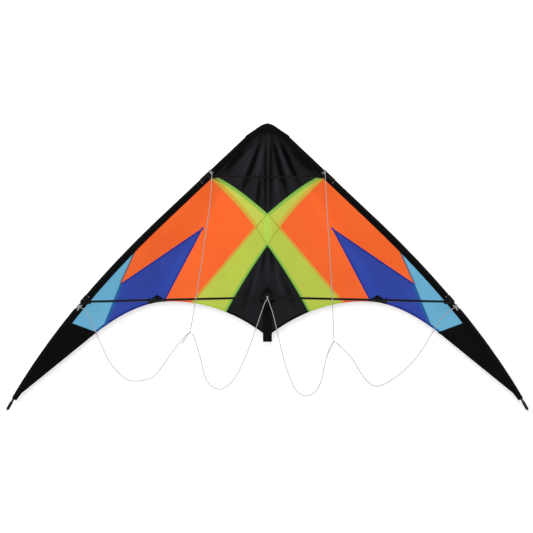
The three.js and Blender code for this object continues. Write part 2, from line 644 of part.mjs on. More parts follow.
function addStandoff() {
  const ringR = 5.4;
  const half = STANDOFF_R + GAP;
  const z = standoffZ;
  const x = STANDOFF_X;
  const spreaderBore = solid(bar(at(x - 30, SPREADER_Y, spreaderZ(x - 30)), at(x + 60, SPREADER_Y, spreaderZ(x + 60)), SPREADER_R + GAP, 14));
  const ring = solid(bar(at(x - 7, SPREADER_Y, spreaderZ(x - 7)), at(x + 7, SPREADER_Y, spreaderZ(x + 7)), ringR, 16));
  const nose = box(x - 4, x + 4, SPREADER_Y, NOSE_BACK, z - 3.6, z + 4);
  const socketFront = SPREADER_Y + SPREADER_R + GAP + 1.2;
  const socket = box(x - half, x + half, socketFront, NOSE_BACK + 5, z - 20, z + half);
  addPair("standoff_connector", geometryOf(ring.add(nose).subtract(spreaderBore).subtract(socket)), "moulded");

  const stop = solid(bar(at(STOP_X - 2.5, SPREADER_Y, spreaderZ(STOP_X - 2.5)), at(STOP_X + 2.5, SPREADER_Y, spreaderZ(STOP_X + 2.5)), 4.6, 14));
  addPair("stop_ring", geometryOf(stop.subtract(spreaderBore)), "moulded");
  addPair("standoff_rod", bar(at(x, socketFront + GAP, z), at(x, footPivotY, z), STANDOFF_R, 10), "rod");

  const plate = box(x - 6, x + 6, patchFront - GAP - 6.5, patchFront - GAP, z - 5, z + 6);
  const slot = box(x - half, x + half, patchFront - 20, footPivotY + half, z - 20, z + 20);
  const surface = sailSlab(-CLOTH / 2 - 2 * GAP - PATCH, 40);
  addPair("standoff_foot", geometryOf(plate.subtract(slot).subtract(surface)), "moulded");
}
addStandoff();

// ---- bridle -----------------------------------------------------------------------------------
// Light line, hanging free from the fittings to a tow point on each side. Each route is a list of
// points set by hand: the two sides hang differently.
const bridleRoutes = {
  bridle_upper_left: [[-127, -9.6, -112], [-130.5, -15.5, -176], [-146, -18, -286], [-163, -19, -397], [-176, -20, -475]],
  bridle_outer_left: [
    [-430, -8, -421], [-415.5, -12, -431], [-392, -14, -480], [-360.5, -16, -547], [-323, -18, -586],
    [-301, -18, -590.5], [-261.5, -19, -580.5], [-234, -20, -547], [-206.5, -20, -509.5], [-181, -20, -480],
  ],
  bridle_inner_left: [
    [-173.5, -20, -481.5], [-168.5, -21, -488], [-155, -22, -531], [-135.5, -22, -594], [-109.5, -22, -609],
    [-80, -22, -590.5], [-48.5, -21, -531], [-28.5, -20, -476], [-6, -18.6, -411],
  ],
  bridle_upper_right: [[132, -9.6, -112], [135, -15.5, -176], [141, -18, -274], [147, -19, -371.5], [152, -20, -496]],
  bridle_outer_right: [
    [430, -8, -421], [419, -12, -429], [398, -14, -447.5], [378, -15, -479], [342.5, -16, -535],
    [294.5, -18, -581], [254.5, -19, -602], [238.5, -19, -599], [218.5, -20, -579], [190.5, -20, -535],
    [156, -20, -501],
  ],
  bridle_inner_right: [
    [149, -20, -502.5], [142.5, -21, -515], [133, -22, -543], [122.5, -22, -591], [107, -22, -617],
    [85, -22, -624], [67, -22, -613], [43, -21, -559], [25, -20, -487], [11, -19.5, -431], [4, -18.6, -411],
  ],
};

function cord(points, steps) {
  const path = new THREE.CatmullRomCurve3(points.map((point) => at(...point)), false, "centripetal");
  const section = new THREE.Shape().absarc(0, 0, CORD_R, 0, Math.PI * 2);
  return new THREE.ExtrudeGeometry(section, { steps, curveSegments: 4, extrudePath: path });
}

for (const [name, points] of Object.entries(bridleRoutes)) {
  add(name, cord(points, name.includes("upper") ? 12 : 34), "line");
}

/** The knot where a bridle's three legs meet, with the short looped tail for the flying line. */
function addTowPoint(name, knot, tail) {
  const ball = solid(new THREE.SphereGeometry(2.1, 8, 6).translate(...knot));
  const end = solid(new THREE.SphereGeometry(1.7, 8, 6).translate(...tail.at(-1)));
  add(name, geometryOf(ball.add(solid(cord([knot, ...tail], 10))).add(end)), "line");
}
addTowPoint("tow_point_left", [-177, -20, -478.5], [[-186, -20.6, -491], [-194.4, -21.8, -503]]);
addTowPoint("tow_point_right", [152.5, -20, -499.5], [[145.6, -24, -511], [136, -26, -533]]);

export default kite;
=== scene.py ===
"""A two-line delta kite hanging nose up: ripstop sail, black edge sleeves, rods, moulded fittings, bridle.

Sizes are in millimetres, in the frame's own axes: +X to the right wing, +Z up, -Y towards the flyer.
"""

import math

import bpy
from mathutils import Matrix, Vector
from mathutils.geometry import delaunay_2d_cdt


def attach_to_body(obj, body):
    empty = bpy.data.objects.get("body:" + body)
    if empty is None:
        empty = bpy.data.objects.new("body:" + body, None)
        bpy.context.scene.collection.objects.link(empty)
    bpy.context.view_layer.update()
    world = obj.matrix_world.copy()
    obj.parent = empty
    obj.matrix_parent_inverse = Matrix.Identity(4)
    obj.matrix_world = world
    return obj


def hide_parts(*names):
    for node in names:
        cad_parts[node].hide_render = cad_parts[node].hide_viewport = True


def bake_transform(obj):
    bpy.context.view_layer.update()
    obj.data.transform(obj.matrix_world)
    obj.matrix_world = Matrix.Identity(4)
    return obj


MM = 0.001
SIDES = {"right": 1, "left": -1}

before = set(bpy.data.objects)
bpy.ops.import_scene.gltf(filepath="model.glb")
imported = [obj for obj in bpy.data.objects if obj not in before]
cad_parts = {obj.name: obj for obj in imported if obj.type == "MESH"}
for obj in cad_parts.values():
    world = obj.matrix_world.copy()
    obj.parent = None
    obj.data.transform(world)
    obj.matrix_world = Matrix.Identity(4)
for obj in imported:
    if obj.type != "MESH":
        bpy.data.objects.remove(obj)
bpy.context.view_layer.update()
bpy.ops.object.select_all(action="DESELECT")

# ---- camera ------------------------------------------------------------------------------------
VIEW_WIDTH = 1222  # width of the view at the sail
VIEW_CENTRE = (-2.1, -328.4)  # X and Z in the middle of the view
CAMERA_DISTANCE = 8000


def add_camera():
    """A long lens, level, square to the front of the sail."""
    place = (VIEW_CENTRE[0] * MM, -CAMERA_DISTANCE * MM, VIEW_CENTRE[1] * MM)
    bpy.ops.object.camera_add(location=place, rotation=(math.pi / 2, 0, 0))
    camera = bpy.context.object
    camera.name = "camera"
    camera.data.lens = camera.data.sensor_width * CAMERA_DISTANCE / VIEW_WIDTH
    bpy.context.scene.camera = camera


add_camera()

# ---- sizes shared with the frame ---------------------------------------------------------------
TIP_DROP = 657
KEEL_LENGTH = 480.5
EDGE_SPREAD = 1.0616
NOSE_RISE = 10
BEND_START = 217
BEND_RADIUS = 868
CREASE_X = 11
STANDOFF_X = 254.5
STANDOFF_DROP = 406
STANDOFF_DEPTH = 62
HEM = 11
HEM_GAP = 0.3
SLEEVE_TOP = 33
SLEEVE_END = 632
UPPER_WINDOW = (110, 134)
LOWER_WINDOW = (395.5, 427)
RING_R = 5.4  # outer radius of the edge fittings' rings
EDGE_ROD_R = 2.5


def clamp(value, low, high):
    return max(low, min(high, value))


def lerp(a, b, t):
    return a + (b - a) * t


def smooth_min(a, b, k):
    h = clamp(0.5 + (b - a) / (2 * k), 0, 1)
    return lerp(b, a, h) - k * h * (1 - h)


def smooth_max(a, b, k):
    return -smooth_min(-a, -b, k)


def edge_x(z):
    """Distance of the edge rod's centre line from the kite's centre line."""
    bend = max(0, -z - BEND_START)
    return EDGE_SPREAD * (NOSE_RISE - z) - bend * bend / (2 * BEND_RADIUS)


def edge_slope(z):
    return EDGE_SPREAD - max(0, -z - BEND_START) / BEND_RADIUS


def inside_edge(drop, distance):
    """A point that far inside the edge rod, at the height of that drop down the kite."""
    return (edge_x(-drop) - distance * math.hypot(1, edge_slope(-drop)), -drop)


def sail_y(x, z):
    """Depth of the sail: nothing at the crease and the hem, deepest where the standoff holds it."""
    hem = inside_edge(-z, HEM + HEM_GAP)[0]
    below = (-z - STANDOFF_DROP) / (TIP_DROP - STANDOFF_DROP)
    ray = -STANDOFF_X * z / STANDOFF_DROP
    ridge = max(CREASE_X + 8, smooth_max(ray, lerp(STANDOFF_X, edge_x(-TIP_DROP), below), 20))
    along = smooth_min(-z / STANDOFF_DROP, 1 - below, 0.3) / smooth_min(1, 1, 0.3)
    across = smooth_min((x - CREASE_X) / (ridge - CREASE_X), (hem - x) / (hem - ridge), 0.4)
    return max(0, STANDOFF_DEPTH * along * across / smooth_min(1, 1, 0.4))


# Creases and soft puckers in the cloth: start, end, half width and height.
CREASES = [
    # Folds that fan out from the nose cap.
    ((-12, -31), (-60, -160), 4.2, -4.6),
    ((-22, -44), (-76, -150), 5, 1.8),
    ((-8, -30), (-32, -160), 6, 1.9),
    ((11, -30), (46, -166), 4, -4.6),
    ((20, -40), (60, -148), 5, 1.9),
    ((26, -35), (74, -140), 3.6, -4.2),
    ((44, -48), (112, -120), 6, -2.8),
    ((-38, -46), (-104, -116), 6, -2.8),
    ((-30, -44), (-84, -128), 5, 1.1),
    ((-4.5, -20), (-4.5, -212), 3.2, -3.0),
    ((1.5, -20), (1.5, -212), 3, 1.3),
    ((8, -20), (7, -212), 3.2, -3.0),
    ((17, -100), (27, -190), 4, 1.6),
    ((-18, -120), (-24, -200), 4, -2.4),
    # The keel below the crossing.
    ((-4, -282), (-14, -345), 3.4, -1.7),
    ((4, -282), (16, -340), 3.4, -1.7),
    ((0, -284), (0, -372), 3.5, 1.0),
    ((14, -306), (40, -420), 5, 1.2),
    ((-12, -300), (-46, -428), 5, 1.2),
    ((30, -340), (66, -430), 5, -1.2),
    ((-30, -344), (-60, -436), 5, -1.1),
    ((-5, -214), (-5, -272), 2.5, 0.4),
    ((8, -214), (8, -272), 2.5, 0.4),
    # Pulls towards the standoffs, the arms and the tips.
    ((180, -276), (244, -371), 7, 1.3),
    ((-176, -280), (-236, -378), 7, 1.2),
    ((255, -300), (254.5, -395), 10, -1.2),
    ((-255, -300), (-254.5, -395), 10, -1.2),
    ((58, -300), (128, -398), 9, 0.7),
    ((-52, -296), (-120, -396), 9, 0.7),
    ((400, -478), (520, -566), 7, 0.9),
    ((-404, -482), (-516, -562), 7, 0.9),
    ((170, -180), (262, -262), 12, 0.8),
    ((-164, -178), (-270, -270), 12, 0.8),
    ((386, -418), (420, -411), 4, 0.9),
    ((384, -432), (414, -427), 4, -0.9),
    ((300, -300), (352, -440), 10, 0.9),
    ((-384, -416), (-418, -409), 4, -0.8),
    ((-386, -440), (-424, -434), 4, 0.8),
    ((-296, -296), (-350, -436), 10, 0.9),
]
DEEP_FOLD = 1.7  # a crease this deep gets the full painted shade, and a ridge this high the full painted highlight


def crease_height(x, z):
    """How far the cloth stands towards the flyer where it is creased."""
    total = 0
    for (x0, z0), (x1, z1), width, height in CREASES:
        squared = (x1 - x0) ** 2 + (z1 - z0) ** 2
        along = clamp(((x - x0) * (x1 - x0) + (z - z0) * (z1 - z0)) / squared, 0, 1)
        away = math.hypot(x - lerp(x0, x1, along), z - lerp(z0, z1, along))
        total += height * math.exp(-((away / width) ** 2)) * math.sin(math.pi * clamp(along, 0.08, 0.92))
    return total


def cloth_y(x, z):
    return sail_y(abs(x), z) - crease_height(x, z)


# ---- materials -----------------------------------------------------------------------------------
RIPSTOP_GRID = 5  # spacing of the cloth's thicker threads
STITCH_PERIOD = 6  # a stitch and the gap after it
STITCH_GAP = 1.8
WEBBING_RIB = 1.2
WEBBING_WARP = 2
LINE_STRAND = 1


def linear(colour):
    """An sRGB hex colour as linear red, green, blue and alpha."""
    channels = [int(colour[i : i + 2], 16) / 255 for i in (1, 3, 5)]
    return [c / 12.92 if c <= 0.04045 else ((c + 0.055) / 1.055) ** 2.4 for c in channels] + [1]


def add_node(tree, kind, inputs=None, **settings):
    """Adds a node, sets its properties, and fills or links its inputs."""
    node = tree.nodes.new(kind)
    for name, value in settings.items():
        setattr(node, name, value)
    for key, value in (inputs or {}).items():
        if isinstance(value, bpy.types.NodeSocket):
            tree.links.new(value, node.inputs[key])
        else:
            node.inputs[key].default_value = value
    return node


def start_material(name):
    material = bpy.data.materials.new(name)
    material.use_nodes = True
    material.node_tree.nodes.clear()
    return material, material.node_tree


def finish_material(tree, surface):
    add_node(tree, "ShaderNodeOutputMaterial", {"Surface": surface.outputs["BSDF"]})


def bands(tree, vector, direction, spacing):
    """A wave texture whose bands are that many millimetres apart on object coordinates."""
    return add_node(
        tree,
        "ShaderNodeTexWave",
        {"Vector": vector, "Scale": 2 * math.pi / 20 / (spacing * MM)},
        bands_direction=direction,
    ).outputs["Fac"]


def add_bump(tree, height, strength, distance):
    """A bump that many millimetres high."""
    inputs = {"Height": height, "Strength": strength, "Distance": distance * MM}
    return add_node(tree, "ShaderNodeBump", inputs)


def ripstop(name, colour, shade, specular=0.15, roughness=0.5, valley_shade=None, ridge=None):
    """Coated ripstop nylon: silky, with a square grid of thicker threads, with painted shade in the crease
    valleys and a painted highlight on the ridges.
    """
    material, tree = start_material(name)
    place = add_node(tree, "ShaderNodeTexCoord").outputs["Object"]
    cloudy = add_node(tree, "ShaderNodeTexNoise", {"Vector": place, "Scale": 9, "Detail": 3})
    dyed = add_node(tree, "ShaderNodeValToRGB", {"Fac": cloudy.outputs["Fac"]})
    dyed.color_ramp.elements[0].position = 0.3
    dyed.color_ramp.elements[0].color = linear(shade)
    dyed.color_ramp.elements[1].position = 0.7
    dyed.color_ramp.elements[1].color = linear(colour)
    # The threads are drawn a little stronger than real ones, so that they show.
    across = bands(tree, place, "X", RIPSTOP_GRID)
    along = bands(tree, place, "Z", RIPSTOP_GRID)
    grid = add_node(tree, "ShaderNodeMath", {0: across, 1: along}, operation="MAXIMUM")
    thread = add_node(tree, "ShaderNodeMapRange", {"Value": grid.outputs[0], "From Min": 0.9, "To Max": 0.12})
    woven = add_node(
        tree,
        "ShaderNodeMix",
        {0: thread.outputs[0], 6: dyed.outputs["Color"], 7: linear(shade)},
        data_type="RGBA",
    )
    # Painted shade and highlight: the colour darkens in crease valleys and lightens towards the ridge colour
    # on ridges.
    crease_shading = add_node(tree, "ShaderNodeAttribute", attribute_name="fold_shading")
    highlight_share = add_node(
        tree,
        "ShaderNodeMath",
        {0: crease_shading.outputs["Fac"], 1: -1},
        operation="MULTIPLY",
        use_clamp=True,
    )
    lit = add_node(
        tree,
        "ShaderNodeMix",
        {0: highlight_share.outputs[0], 6: woven.outputs[2], 7: linear(ridge or colour)},
        data_type="RGBA",
    )
    shaded_colour = add_node(
        tree,
        "ShaderNodeMix",
        {0: crease_shading.outputs["Fac"], 6: lit.outputs[2], 7: linear(valley_shade or shade)},
        data_type="RGBA",
    )
    bump = add_bump(tree, grid.outputs[0], 0.12, 0.2)
    surface = add_node(
        tree,
        "ShaderNodeBsdfPrincipled",
        {
            "Base Color": shaded_colour.outputs[2],
            "Normal": bump.outputs["Normal"],
            "Roughness": roughness,
            "Specular IOR Level": specular,
        },
    )
    finish_material(tree, surface)
    return material


def sewn_tape(name, colour, thread_colour, specular=0.06):
    """A folded and sewn double layer: the cloth's colour with a row of stitches along the strip's UV map."""
    material, tree = start_material(name)
    run = add_node(tree, "ShaderNodeUVMap").outputs["UV"]
    parts = add_node(tree, "ShaderNodeSeparateXYZ", {"Vector": run})
    # One row of stitches, in the middle of the strip.
    wave = add_node(
        tree,
        "ShaderNodeMath",
        {0: parts.outputs["X"], 1: STITCH_PERIOD / 2 * MM},
        operation="PINGPONG",
    )
    dash = add_node(
        tree,
        "ShaderNodeMath",
        {0: wave.outputs[0], 1: STITCH_GAP / 2 * MM},
        operation="GREATER_THAN",
    )
    row = add_node(tree, "ShaderNodeMath", {0: parts.outputs["Y"], 1: 0.5, 2: 0.09}, operation="COMPARE")
    stitch = add_node(tree, "ShaderNodeMath", {0: dash.outputs[0], 1: row.outputs[0]}, operation="MULTIPLY")
    place = add_node(tree, "ShaderNodeTexCoord").outputs["Object"]
    weave = add_node(tree, "ShaderNodeTexNoise", {"Vector": place, "Scale": 900, "Detail": 2})
    shade = add_node(tree, "ShaderNodeMapRange", {"Value": weave.outputs["Fac"], "To Max": 0.3})
    body = add_node(
        tree,
        "ShaderNodeMix",
        {0: shade.outputs[0], 6: linear(colour), 7: linear(thread_colour)},
        data_type="RGBA",
    )
    sewn = add_node(
        tree,
        "ShaderNodeMix",
        {0: stitch.outputs[0], 6: body.outputs[2], 7: linear(thread_colour)},
        data_type="RGBA",
    )
    bump = add_bump(tree, stitch.outputs[0], 0.3, 0.2)
    surface = add_node(
        tree,
        "ShaderNodeBsdfPrincipled",
        {
            "Base Color": sewn.outputs[2],
            "Normal": bump.outputs["Normal"],
            "Roughness": 0.6,
            "Specular IOR Level": specular,
        },
    )
    finish_material(tree, surface)
    return material


def woven_webbing():
    """Black nylon webbing: matte, with fine ribs across it."""
    material, tree = start_material("woven_nylon_webbing")
    place = add_node(tree, "ShaderNodeTexCoord").outputs["Object"]
    ribs = bands(tree, place, "Z", WEBBING_RIB)
    warp = bands(tree, place, "X", WEBBING_WARP)
    weave = add_node(tree, "ShaderNodeMath", {0: ribs, 1: warp}, operation="MULTIPLY")
    tone = add_node(tree, "ShaderNodeValToRGB", {"Fac": weave.outputs[0]})
    tone.color_ramp.elements[0].color = linear("#060607")
    tone.color_ramp.elements[1].color = linear("#151517")
    bump = add_bump(tree, weave.outputs[0], 0.4, 0.3)
    surface = add_node(
        tree,
        "ShaderNodeBsdfPrincipled",
        {
            "Base Color": tone.outputs["Color"],
            "Normal": bump.outputs["Normal"],
            "Roughness": 0.75,
            "Specular IOR Level": 0.08,
        },
    )
    finish_material(tree, surface)
    return material


def moulded_nylon():
    """Injection-moulded black nylon: satin, with a fine grain left by the mould."""
    material, tree = start_material("moulded_nylon")
    place = add_node(tree, "ShaderNodeTexCoord").outputs["Object"]
    grain = add_node(tree, "ShaderNodeTexNoise", {"Vector": place, "Scale": 1400, "Detail": 3})
    tone = add_node(tree, "ShaderNodeValToRGB", {"Fac": grain.outputs["Fac"]})
    tone.color_ramp.elements[0].color = linear("#050506")
    tone.color_ramp.elements[1].color = linear("#0e0e10")
    bump = add_bump(tree, grain.outputs["Fac"], 0.15, 0.1)
    surface = add_node(
        tree,
        "ShaderNodeBsdfPrincipled",
        {
            "Base Color": tone.outputs["Color"],
            "Normal": bump.outputs["Normal"],
            "Roughness": 0.42,
            "Specular IOR Level": 0.22,
        },
    )
    finish_material(tree, surface)
    return material


def pultruded_rod():
    """Pultruded glass-fibre rod in black resin: glossy, with faint streaks."""
    material, tree = start_material("pultruded_rod")
    place = add_node(tree, "ShaderNodeTexCoord").outputs["Object"]
    fibres = add_node(
        tree,
        "ShaderNodeTexNoise",
        {"Vector": place, "Scale": 300, "Detail": 4, "Distortion": 0.4},
    )
    tone = add_node(tree, "ShaderNodeValToRGB", {"Fac": fibres.outputs["Fac"]})
    tone.color_ramp.elements[0].color = linear("#070708")
    tone.color_ramp.elements[1].color = linear("#131417")
    gloss = add_node(
        tree,
        "ShaderNodeMapRange",
        {"Value": fibres.outputs["Fac"], "To Min": 0.22, "To Max": 0.36},
    )
    surface = add_node(
        tree,
        "ShaderNodeBsdfPrincipled",
        {"Base Color": tone.outputs["Color"], "Roughness": gloss.outputs[0], "Specular IOR Level": 0.22},
    )
    finish_material(tree, surface)
    return material


def braided_line(name, colour, shade):
    """Braided line: pale fibres with painted shade in the gaps between the strands."""
    material, tree = start_material(name)
    place = add_node(tree, "ShaderNodeTexCoord").outputs["Object"]
    strands = bands(tree, place, "DIAGONAL", LINE_STRAND)
    # The darker end of the ramp is painted shade between the strands.
    tone = add_node(tree, "ShaderNodeValToRGB", {"Fac": strands})
    tone.color_ramp.elements[0].color = linear(shade)
    tone.color_ramp.elements[1].color = linear(colour)
    bump = add_bump(tree, strands, 0.3, 0.1)
    surface = add_node(
        tree,
        "ShaderNodeBsdfPrincipled",
        {"Base Color": tone.outputs["Color"], "Normal": bump.outputs["Normal"], "Roughness": 0.7},
    )
    finish_material(tree, surface)
    return material


ORANGE = ripstop("orange_ripstop", "#f66a2e", "#ef6328")
LIME = ripstop("lime_ripstop", "#bccb4c", "#b3c249")
UPPER_LIME = ripstop("yellow_lime_ripstop", "#c4ce54", "#b9c44e")
# Brighter lime: a painted highlight on the cloth's ridge over the spine.
SPINE_HIGHLIGHT = ripstop("lime_ripstop_spine_highlight", "#b4d353", "#abca4c")
BLUE = ripstop("blue_ripstop", "#3048a8", "#2a409b", specular=0.2)
SKY = ripstop("sky_blue_ripstop", "#6cb2d4", "#64a9cc")
# The black cloth's last two colours are its painted shade in crease valleys and its painted highlight on
# ridges.
BLACK = ripstop(
    "black_ripstop", "#1a1b1e", "#151619", specular=0.12, roughness=0.45, valley_shade="#010102", ridge="#26272b"
)
DENSE_BLACK = ripstop("dense_black_ripstop", "#0a0a0b", "#070708", specular=0.06)
GREEN_SEAM = sewn_tape("green_seam_ripstop", "#93c052", "#7bae49")
GREEN_EDGE = sewn_tape("green_edge_ripstop", "#5a9638", "#47802e")
GOLD_SEAM = sewn_tape("gold_seam_ripstop", "#d6b546", "#c49c3a")
AMBER_SEAM = sewn_tape("amber_seam_ripstop", "#d8a640", "#c08e34")
OLIVE_SEAM = sewn_tape("olive_seam_ripstop", "#a0a83a", "#7f8a30")
ORANGE_HEM = sewn_tape("orange_hem_ripstop", "#f06a2e", "#c85020")
LIME_HEM = sewn_tape("lime_hem_ripstop", "#b2d04a", "#8fae3a")
BLUE_HEM = sewn_tape("blue_hem_ripstop", "#2b3690", "#20276e")
MID_BLUE_SEAM = sewn_tape("mid_blue_seam_ripstop", "#2f64a4", "#1d568a")
GREY_SEAM = sewn_tape("grey_seam_ripstop", "#7c6a70", "#625862")
BLACK_TAPE = sewn_tape("black_sleeve_tape", "#09090a", "#161618", specular=0.04)
WEBBING = woven_webbing()
MOULDED = moulded_nylon()
ROD = pultruded_rod()
LINE = braided_line("braided_polyester_line", "#c4c4bf", "#91918d")
ELASTIC = braided_line("black_elastic_cord", "#141416", "#070708")


# ---- helpers for pieces ----------------------------------------------------------------------------
def mesh_object(name, points, faces, uvs=None):
    """A new object from points in millimetres."""
    mesh = bpy.data.meshes.new(name)
    mesh.from_pydata([[c * MM for c in point] for point in points], [], faces)
    if uvs:
        layer = mesh.uv_layers.new(name="run")
        for loop in mesh.loops:
            layer.data[loop.index].uv = uvs[loop.vertex_index]
    piece = bpy.data.objects.new(name, mesh)
    bpy.context.collection.objects.link(piece)
    return piece


def activate(piece):
    bpy.ops.object.select_all(action="DESELECT")
    piece.select_set(True)
    bpy.context.view_layer.objects.active = piece


def apply_modifier(piece, kind, **settings):
    activate(piece)
    modifier = piece.modifiers.new(kind.lower(), kind)
    for name, value in settings.items():
        setattr(modifier, name, value)
    bpy.ops.object.modifier_apply(modifier=modifier.name)


def smooth(piece, angle=40):
    activate(piece)
    bpy.ops.object.shade_smooth_by_angle(angle=math.radians(angle))


def attach(piece, material, side=None, body=None, replaced=()):
    """Gives a piece its finish and the body it moves with. Cloth that reaches the crease keeps no body."""
    piece.data.materials.clear()
    piece.data.materials.append(material)
    nearest = min(abs(vertex.co.x) for vertex in piece.data.vertices) / MM
    if side and body is None and nearest < CREASE_X:
        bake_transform(piece)
    else:
        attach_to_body(piece, body or f"{side}_wing")
    if replaced:
        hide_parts(*replaced)
    return piece


def resample(points, pitch):
    """Points along a line, no further apart than the pitch, with its corners kept."""
    result = []
    for a, b in zip(points, points[1:]):
        count = max(1, math.ceil(math.dist(a, b) / pitch))
        result += [(lerp(a[0], b[0], i / count), lerp(a[1], b[1], i / count)) for i in range(count)]
    return result + [tuple(points[-1])]


def bezier(a, control, b, steps=24):
    points = []
    for i in range(steps + 1):
        t = i / steps
        points.append(tuple(lerp(lerp(p, c, t), lerp(c, q, t), t) for p, c, q in zip(a, control, b)))
    return points


def bowed(a, b, bow):
    """A seam that bows up by a given height, to the left of its way from a to b."""
    length = math.dist(a, b)
    normal = ((a[1] - b[1]) / length, (b[0] - a[0]) / length)
    middle = ((a[0] + b[0]) / 2, (a[1] + b[1]) / 2)
    return bezier(a, (middle[0] + 2 * bow * normal[0], middle[1] + 2 * bow * normal[1]), b)


def is_inside(point, outline):
    inside = False
    for (x0, z0), (x1, z1) in zip(outline, outline[1:] + outline[:1]):
        if (z0 > point[1]) != (z1 > point[1]) and point[0] < x0 + (point[1] - z0) * (x1 - x0) / (z1 - z0):
            inside = not inside
    return inside


def fill_points(outline, pitch):
    """Points of a triangular grid inside an outline, clear of its edge."""
    xs = [p[0] for p in outline]
    zs = [p[1] for p in outline]
    found = []
    row = 0
    z = min(zs) + pitch / 2
    while z < max(zs):
        x = min(xs) + (pitch / 2 if row % 2 else 0)
        while x < max(xs):
            if is_inside((x, z), outline) and min(math.dist((x, z), p) for p in outline) > 0.7 * pitch:
                found.append((x, z))
            x += pitch
        z += pitch * math.sqrt(3) / 2
        row += 1
    return found


def cloth_piece(name, outline, side, lift=0, pitch=6, thickness=0.25):
    """A sheet of cloth with that outline on the right wing, lying on the curved surface of the sail."""
    border = resample(list(outline) + [outline[0]], pitch)[:-1]
    flat = [Vector(p) for p in border + fill_points(border, pitch)]
    found, _, faces, *_ = delaunay_2d_cdt(flat, [], [list(range(len(border)))], 1, 1e-4)
    sign = SIDES[side]
    points = [(sign * p.x, cloth_y(sign * p.x, p.y) - lift, p.y) for p in found]
    turned = []
    for face in faces:
        a, b, c = (points[i] for i in face[:3])
        facing = (b[0] - a[0]) * (c[2] - a[2]) - (c[0] - a[0]) * (b[2] - a[2])
        turned.append(face if facing > 0 else face[::-1])
    uvs = [(p[0] * MM, p[2] * MM) for p in points]
    piece = mesh_object(name, points, turned, uvs)
    # Crease height at each point, which the cloth's colour uses for painted shade in valleys and a painted
    # highlight on ridges.
    fold_shading = piece.data.attributes.new("fold_shading", "FLOAT", "POINT")
    for vertex, (x, _, z) in enumerate(points):
        fold_shading.data[vertex].value = clamp(-crease_height(x, z) / DEEP_FOLD, -1, 1)
    apply_modifier(piece, "SOLIDIFY", thickness=thickness * MM, offset=-1)
    smooth(piece)
    return piece


def strip(name, line, near, far, side, lift=0.35, thickness=0.2, pitch=5):
    """A narrow strip along a line on the right wing, between near and far, left of the line's way."""
    line = resample(line, pitch)
    sign = SIDES[side]
    points = []
    uvs = []
    run = 0
    for i, here in enumerate(line):
        before = line[max(0, i - 1)]
        after = line[min(len(line) - 1, i + 1)]
        length = math.dist(before, after)
        normal = ((before[1] - after[1]) / length, (after[0] - before[0]) / length)
        run += math.dist(before, here)
        for share in (0, 0.5, 1):
            offset = lerp(near, far, share)
            x = max(0, here[0] + normal[0] * offset)
            z = here[1] + normal[1] * offset
            points.append((sign * x, cloth_y(sign * x, z) - lift, z))
            uvs.append((run * MM, share))
    faces = []
    for i in range(len(line) - 1):
        for j in (0, 1):
            a = 3 * i + j
            face = (a, a + 3, a + 4, a + 1)
            faces.append(face if sign * (far - near) > 0 else face[::-1])
    piece = mesh_object(name, points, faces, uvs)
    apply_modifier(piece, "SOLIDIFY", thickness=thickness * MM, offset=-1)
    smooth(piece)
    return piece


def tube(name, path, radius, sides=10):
    """A closed round tube along a path, with a UV map that runs along it."""
    points = []
    uvs = []
    run = 0
    normal = None
    for i, here in enumerate(path):
        tangent = (path[min(len(path) - 1, i + 1)] - path[max(0, i - 1)]).normalized()
        if normal is None:
            normal = tangent.orthogonal().normalized()
        normal = (normal - tangent * normal.dot(tangent)).normalized()
        across = tangent.cross(normal)
        run += (here - path[max(0, i - 1)]).length
        for k in range(sides):
            angle = 2 * math.pi * k / sides
            points.append(here + radius * (normal * math.cos(angle) + across * math.sin(angle)))
            uvs.append((run * MM, k / sides))
    faces = [tuple(reversed(range(sides)))]
    for i in range(len(path) - 1):
        for k in range(sides):
            a = i * sides + k
            b = i * sides + (k + 1) % sides
            faces.append((a, b, b + sides, a + sides))
    faces.append(tuple(range((len(path) - 1) * sides, len(path) * sides)))
    piece = mesh_object(name, points, faces, uvs)
    smooth(piece, 60)
    return piece


def join(name, pieces):
    bpy.ops.object.select_all(action="DESELECT")
    for piece in pieces:
        piece.select_set(True)
    bpy.context.view_layer.objects.active = pieces[0]
    bpy.ops.object.join()
    pieces[0].name = name
    return pieces[0]


def rounded_copy(node, name, bevel):
    """The shape of a frame node with its sharp edges rounded as a mould leaves them."""
    piece = bpy.data.objects.new(name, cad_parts[node].data.copy())
    bpy.context.collection.objects.link(piece)
    activate(piece)
    bpy.ops.object.mode_set(mode="EDIT")
    bpy.ops.mesh.select_all(action="SELECT")
    bpy.ops.mesh.remove_doubles(threshold=0.01 * MM)
    bpy.ops.mesh.dissolve_limited(angle_limit=math.radians(1))
    bpy.ops.object.mode_set(mode="OBJECT")
    if bevel:
        apply_modifier(
            piece,
            "BEVEL",
            width=bevel * MM,
            segments=2,
            limit_method="ANGLE",
            angle_limit=math.radians(32),
        )
    smooth(piece, 34)
    return piece


# ---- bridle: cords first ---------------------------------------------------------------------------
LINE_R = 0.85
TOW_KNOT_R = 1.3
TAIL_KNOT_R = 0.9
